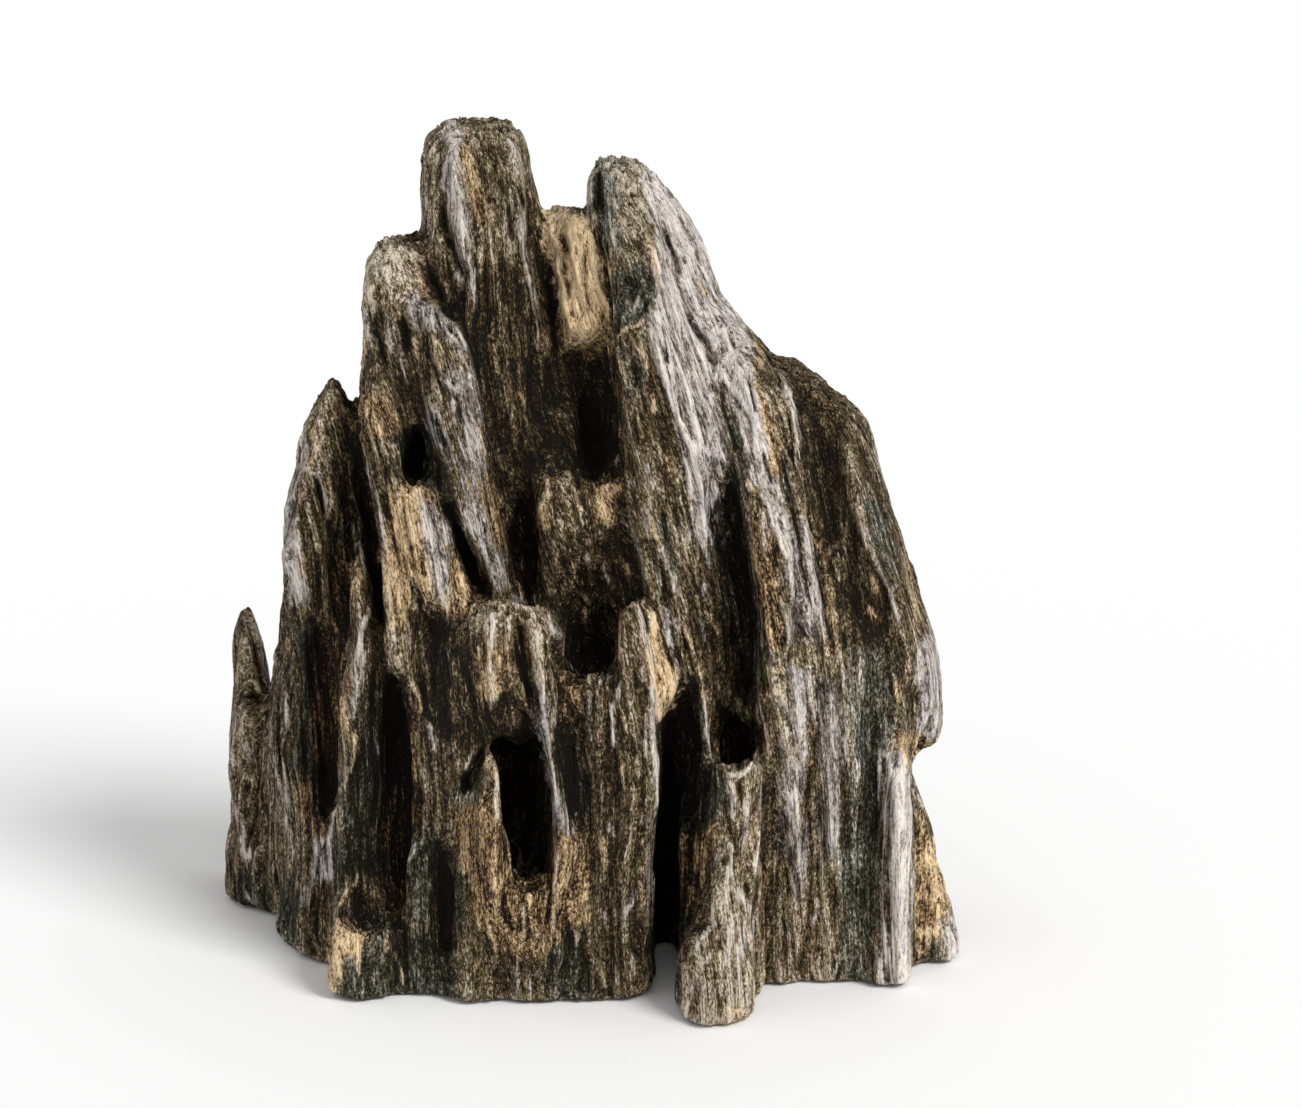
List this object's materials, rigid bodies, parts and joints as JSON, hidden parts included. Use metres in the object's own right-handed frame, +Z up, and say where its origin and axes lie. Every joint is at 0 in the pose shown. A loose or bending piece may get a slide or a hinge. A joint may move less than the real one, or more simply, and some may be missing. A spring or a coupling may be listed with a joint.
{
  "type": "agarwood piece",
  "caption": "Upright piece of weathered agarwood: ragged fluted spires and hollows standing on a flat sawn base, used as a display or incense piece.",
  "frame": {"origin": "middle of the bounding box's bottom face, in the plane of the sawn base", "axes": "+Z up along the grain, +X to the viewer's right, -Y towards the viewer, so the front of the piece faces -Y"},
  "size_m": [0.0918, 0.055, 0.1002],
  "materials": {
    "wood": "matte weathered fibre, uncoated"
  },
  "bodies": {
    "root": {"agarwood": "wood"}
  },
  "joints": []
}
